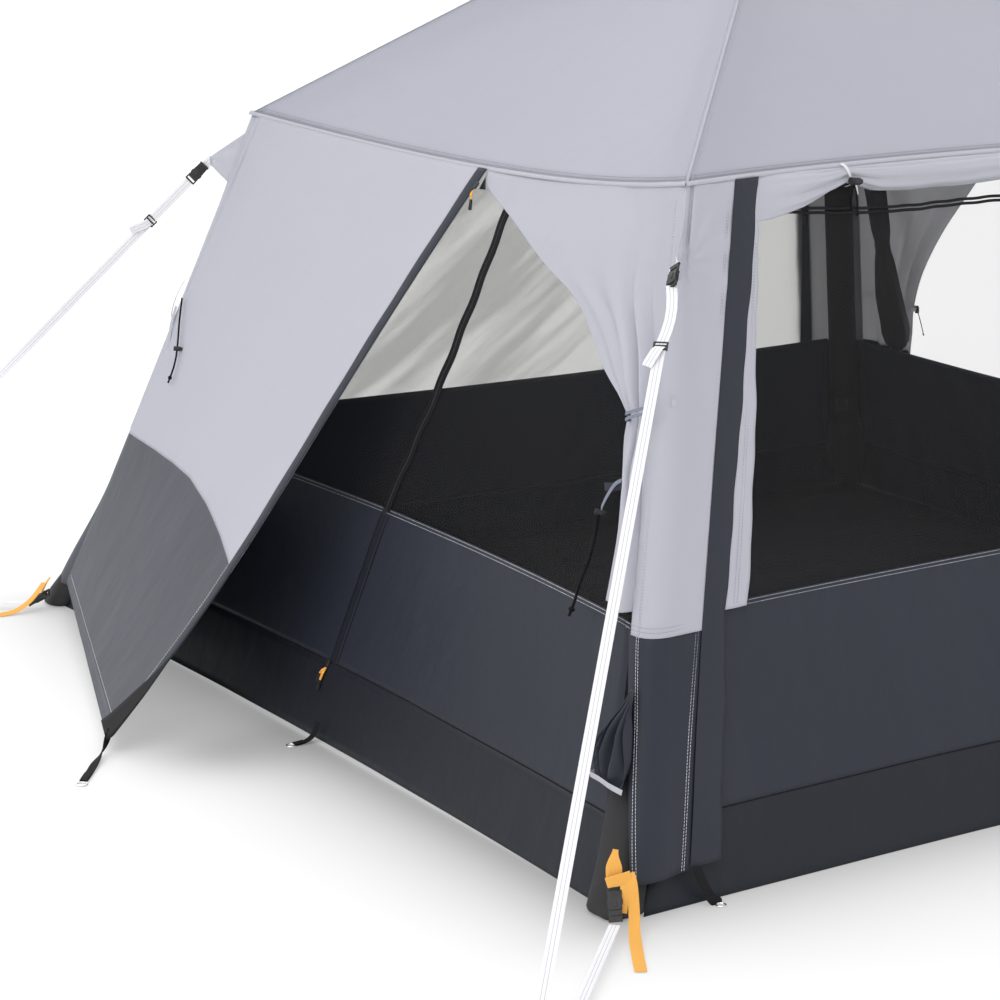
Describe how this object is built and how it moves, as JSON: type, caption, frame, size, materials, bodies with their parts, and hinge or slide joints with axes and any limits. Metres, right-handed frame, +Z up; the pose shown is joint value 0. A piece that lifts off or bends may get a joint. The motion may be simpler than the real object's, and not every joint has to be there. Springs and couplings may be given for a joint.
{
  "type": "inflatable tent",
  "caption": "Square air-pole shelter with a pyramid roof, screened walls, a pegged-out door flap, tied-back doors, a rolled cover and webbing storm straps.",
  "frame": {"origin": "centre of the ground square between the four legs, on the ground", "axes": "+Z up, -Y the front face with the rolled cover, -X the face with the pulled-out flap"},
  "size_m": [4.5174, 4.8822, 2.5575],
  "materials": {
    "light_fabric": "lavender-grey coated tent fabric",
    "dark_fabric": "charcoal coated tent fabric",
    "mesh_fabric": "black fine insect mesh",
    "bladder_film": "smooth airtight film",
    "webbing": "white woven webbing with two grey stripes",
    "tie_webbing": "light grey woven tape",
    "black_plastic": "moulded black acetal",
    "ring_steel": "plated steel wire",
    "pull_cord": "orange braided cord"
  },
  "bodies": {
    "tent": {"air_frame": "bladder_film", "door_zip_runner": "black_plastic", "front_cover_roll": "light_fabric", "front_left_corner_cover": "light_fabric", "front_left_eave_buckle": "black_plastic", "front_left_foot_boot": "dark_fabric", "front_left_foot_buckle": "black_plastic", "front_left_peg_ring": "ring_steel", "front_left_pole_sleeve": "dark_fabric", "front_left_roll_tie": "tie_webbing", "front_left_storm_strap": "webbing", "front_lower_wall": "dark_fabric", "front_right_corner_cover": "light_fabric", "front_right_door_curtain": "light_fabric", "front_right_door_tie": "tie_webbing", "front_right_foot_boot": "dark_fabric", "front_right_pole_sleeve": "dark_fabric", "front_right_roll_tie": "tie_webbing", "front_roof_panel": "light_fabric", "front_screen": "mesh_fabric", "groundsheet": "dark_fabric", "inflation_valve": "black_plastic", "left_door_curtain": "light_fabric", "left_door_flap": "light_fabric", "left_door_lower_tie": "tie_webbing", "left_door_tie": "tie_webbing", "left_lower_wall": "dark_fabric", "left_roof_panel": "light_fabric", "left_screen": "mesh_fabric", "rear_cover": "light_fabric", "rear_left_corner_cover": "light_fabric", "rear_left_eave_buckle": "black_plastic", "rear_left_foot_boot": "dark_fabric", "rear_left_foot_buckle": "black_plastic", "rear_left_peg_ring": "ring_steel", "rear_left_pole_sleeve": "dark_fabric", "rear_left_storm_strap": "webbing", "rear_lower_wall": "dark_fabric", "rear_right_corner_cover": "light_fabric", "rear_right_door_curtain": "light_fabric", "rear_right_door_tie": "tie_webbing", "rear_right_foot_boot": "dark_fabric", "rear_right_pole_sleeve": "dark_fabric", "rear_roof_panel": "light_fabric", "rear_screen": "mesh_fabric", "right_lower_wall": "dark_fabric", "right_roof_panel": "light_fabric", "right_screen_roll": "mesh_fabric", "right_screen_roll_tie": "tie_webbing", "screen_zip_tape": "dark_fabric"},
    "screen_zip_runner": {"screen_zip_runner": "black_plastic"},
    "screen_zip_pull": {"screen_zip_pull": "pull_cord"},
    "door_zip_pull": {"door_zip_pull": "pull_cord"},
    "valve_cap": {"valve_cap": "black_plastic"},
    "front_left_strap_slider": {"front_left_strap_slider": "black_plastic"},
    "rear_left_strap_slider": {"rear_left_strap_slider": "black_plastic"},
    "flap_peg_ring": {"flap_peg_ring": "ring_steel"},
    "door_stake_ring": {"door_stake_ring": "ring_steel"},
    "front_stake_ring": {"front_stake_ring": "ring_steel"}
  },
  "joints": [
    {"name": "screen_zip_slide", "type": "slide", "parent": "tent", "child": "screen_zip_runner", "axis": [0.3694, 0, 0.9293], "range_m": [0, 1.34]},
    {"name": "screen_zip_pull_hinge", "type": "hinge", "parent": "screen_zip_runner", "child": "screen_zip_pull", "pos_m": [-1.61972, 0, 0.18854], "axis": [0, 1, 0], "range_deg": [0, 110]},
    {"name": "door_zip_pull_hinge", "type": "hinge", "parent": "tent", "child": "door_zip_pull", "pos_m": [-1.11317, -0.00751, 1.56601], "axis": [0, 1, 0], "range_deg": [0, 110]},
    {"name": "valve_cap_turn", "type": "hinge", "parent": "tent", "child": "valve_cap", "pos_m": [1.48245, 1.48245, 0.39082], "axis": [-0.6473, -0.6473, -0.4027], "range_deg": [0, 90]},
    {"name": "front_left_slider_slide", "type": "slide", "parent": "tent", "child": "front_left_strap_slider", "axis": [-0.5438, -0.5503, -0.6336], "range_m": [-0.15, 0.5]},
    {"name": "rear_left_slider_slide", "type": "slide", "parent": "tent", "child": "rear_left_strap_slider", "axis": [-0.581, 0.4032, -0.707], "range_m": [-0.15, 0.5]},
    {"name": "flap_ring_lift", "type": "hinge", "parent": "tent", "child": "flap_peg_ring", "pos_m": [-2.43657, -0.0727, 0.0025], "axis": [-0.7934, 0.6087, 0], "range_deg": [0, 80]},
    {"name": "stake_ring_lift", "type": "hinge", "parent": "tent", "child": "door_stake_ring", "pos_m": [-1.7775, -0.09, 0.0025], "axis": [0, 1, 0], "range_deg": [0, 80]},
    {"name": "front_stake_ring_lift", "type": "hinge", "parent": "tent", "child": "front_stake_ring", "pos_m": [-1.474, -1.7575, 0.0025], "axis": [-1, 0, 0], "range_deg": [0, 80]}
  ]
}
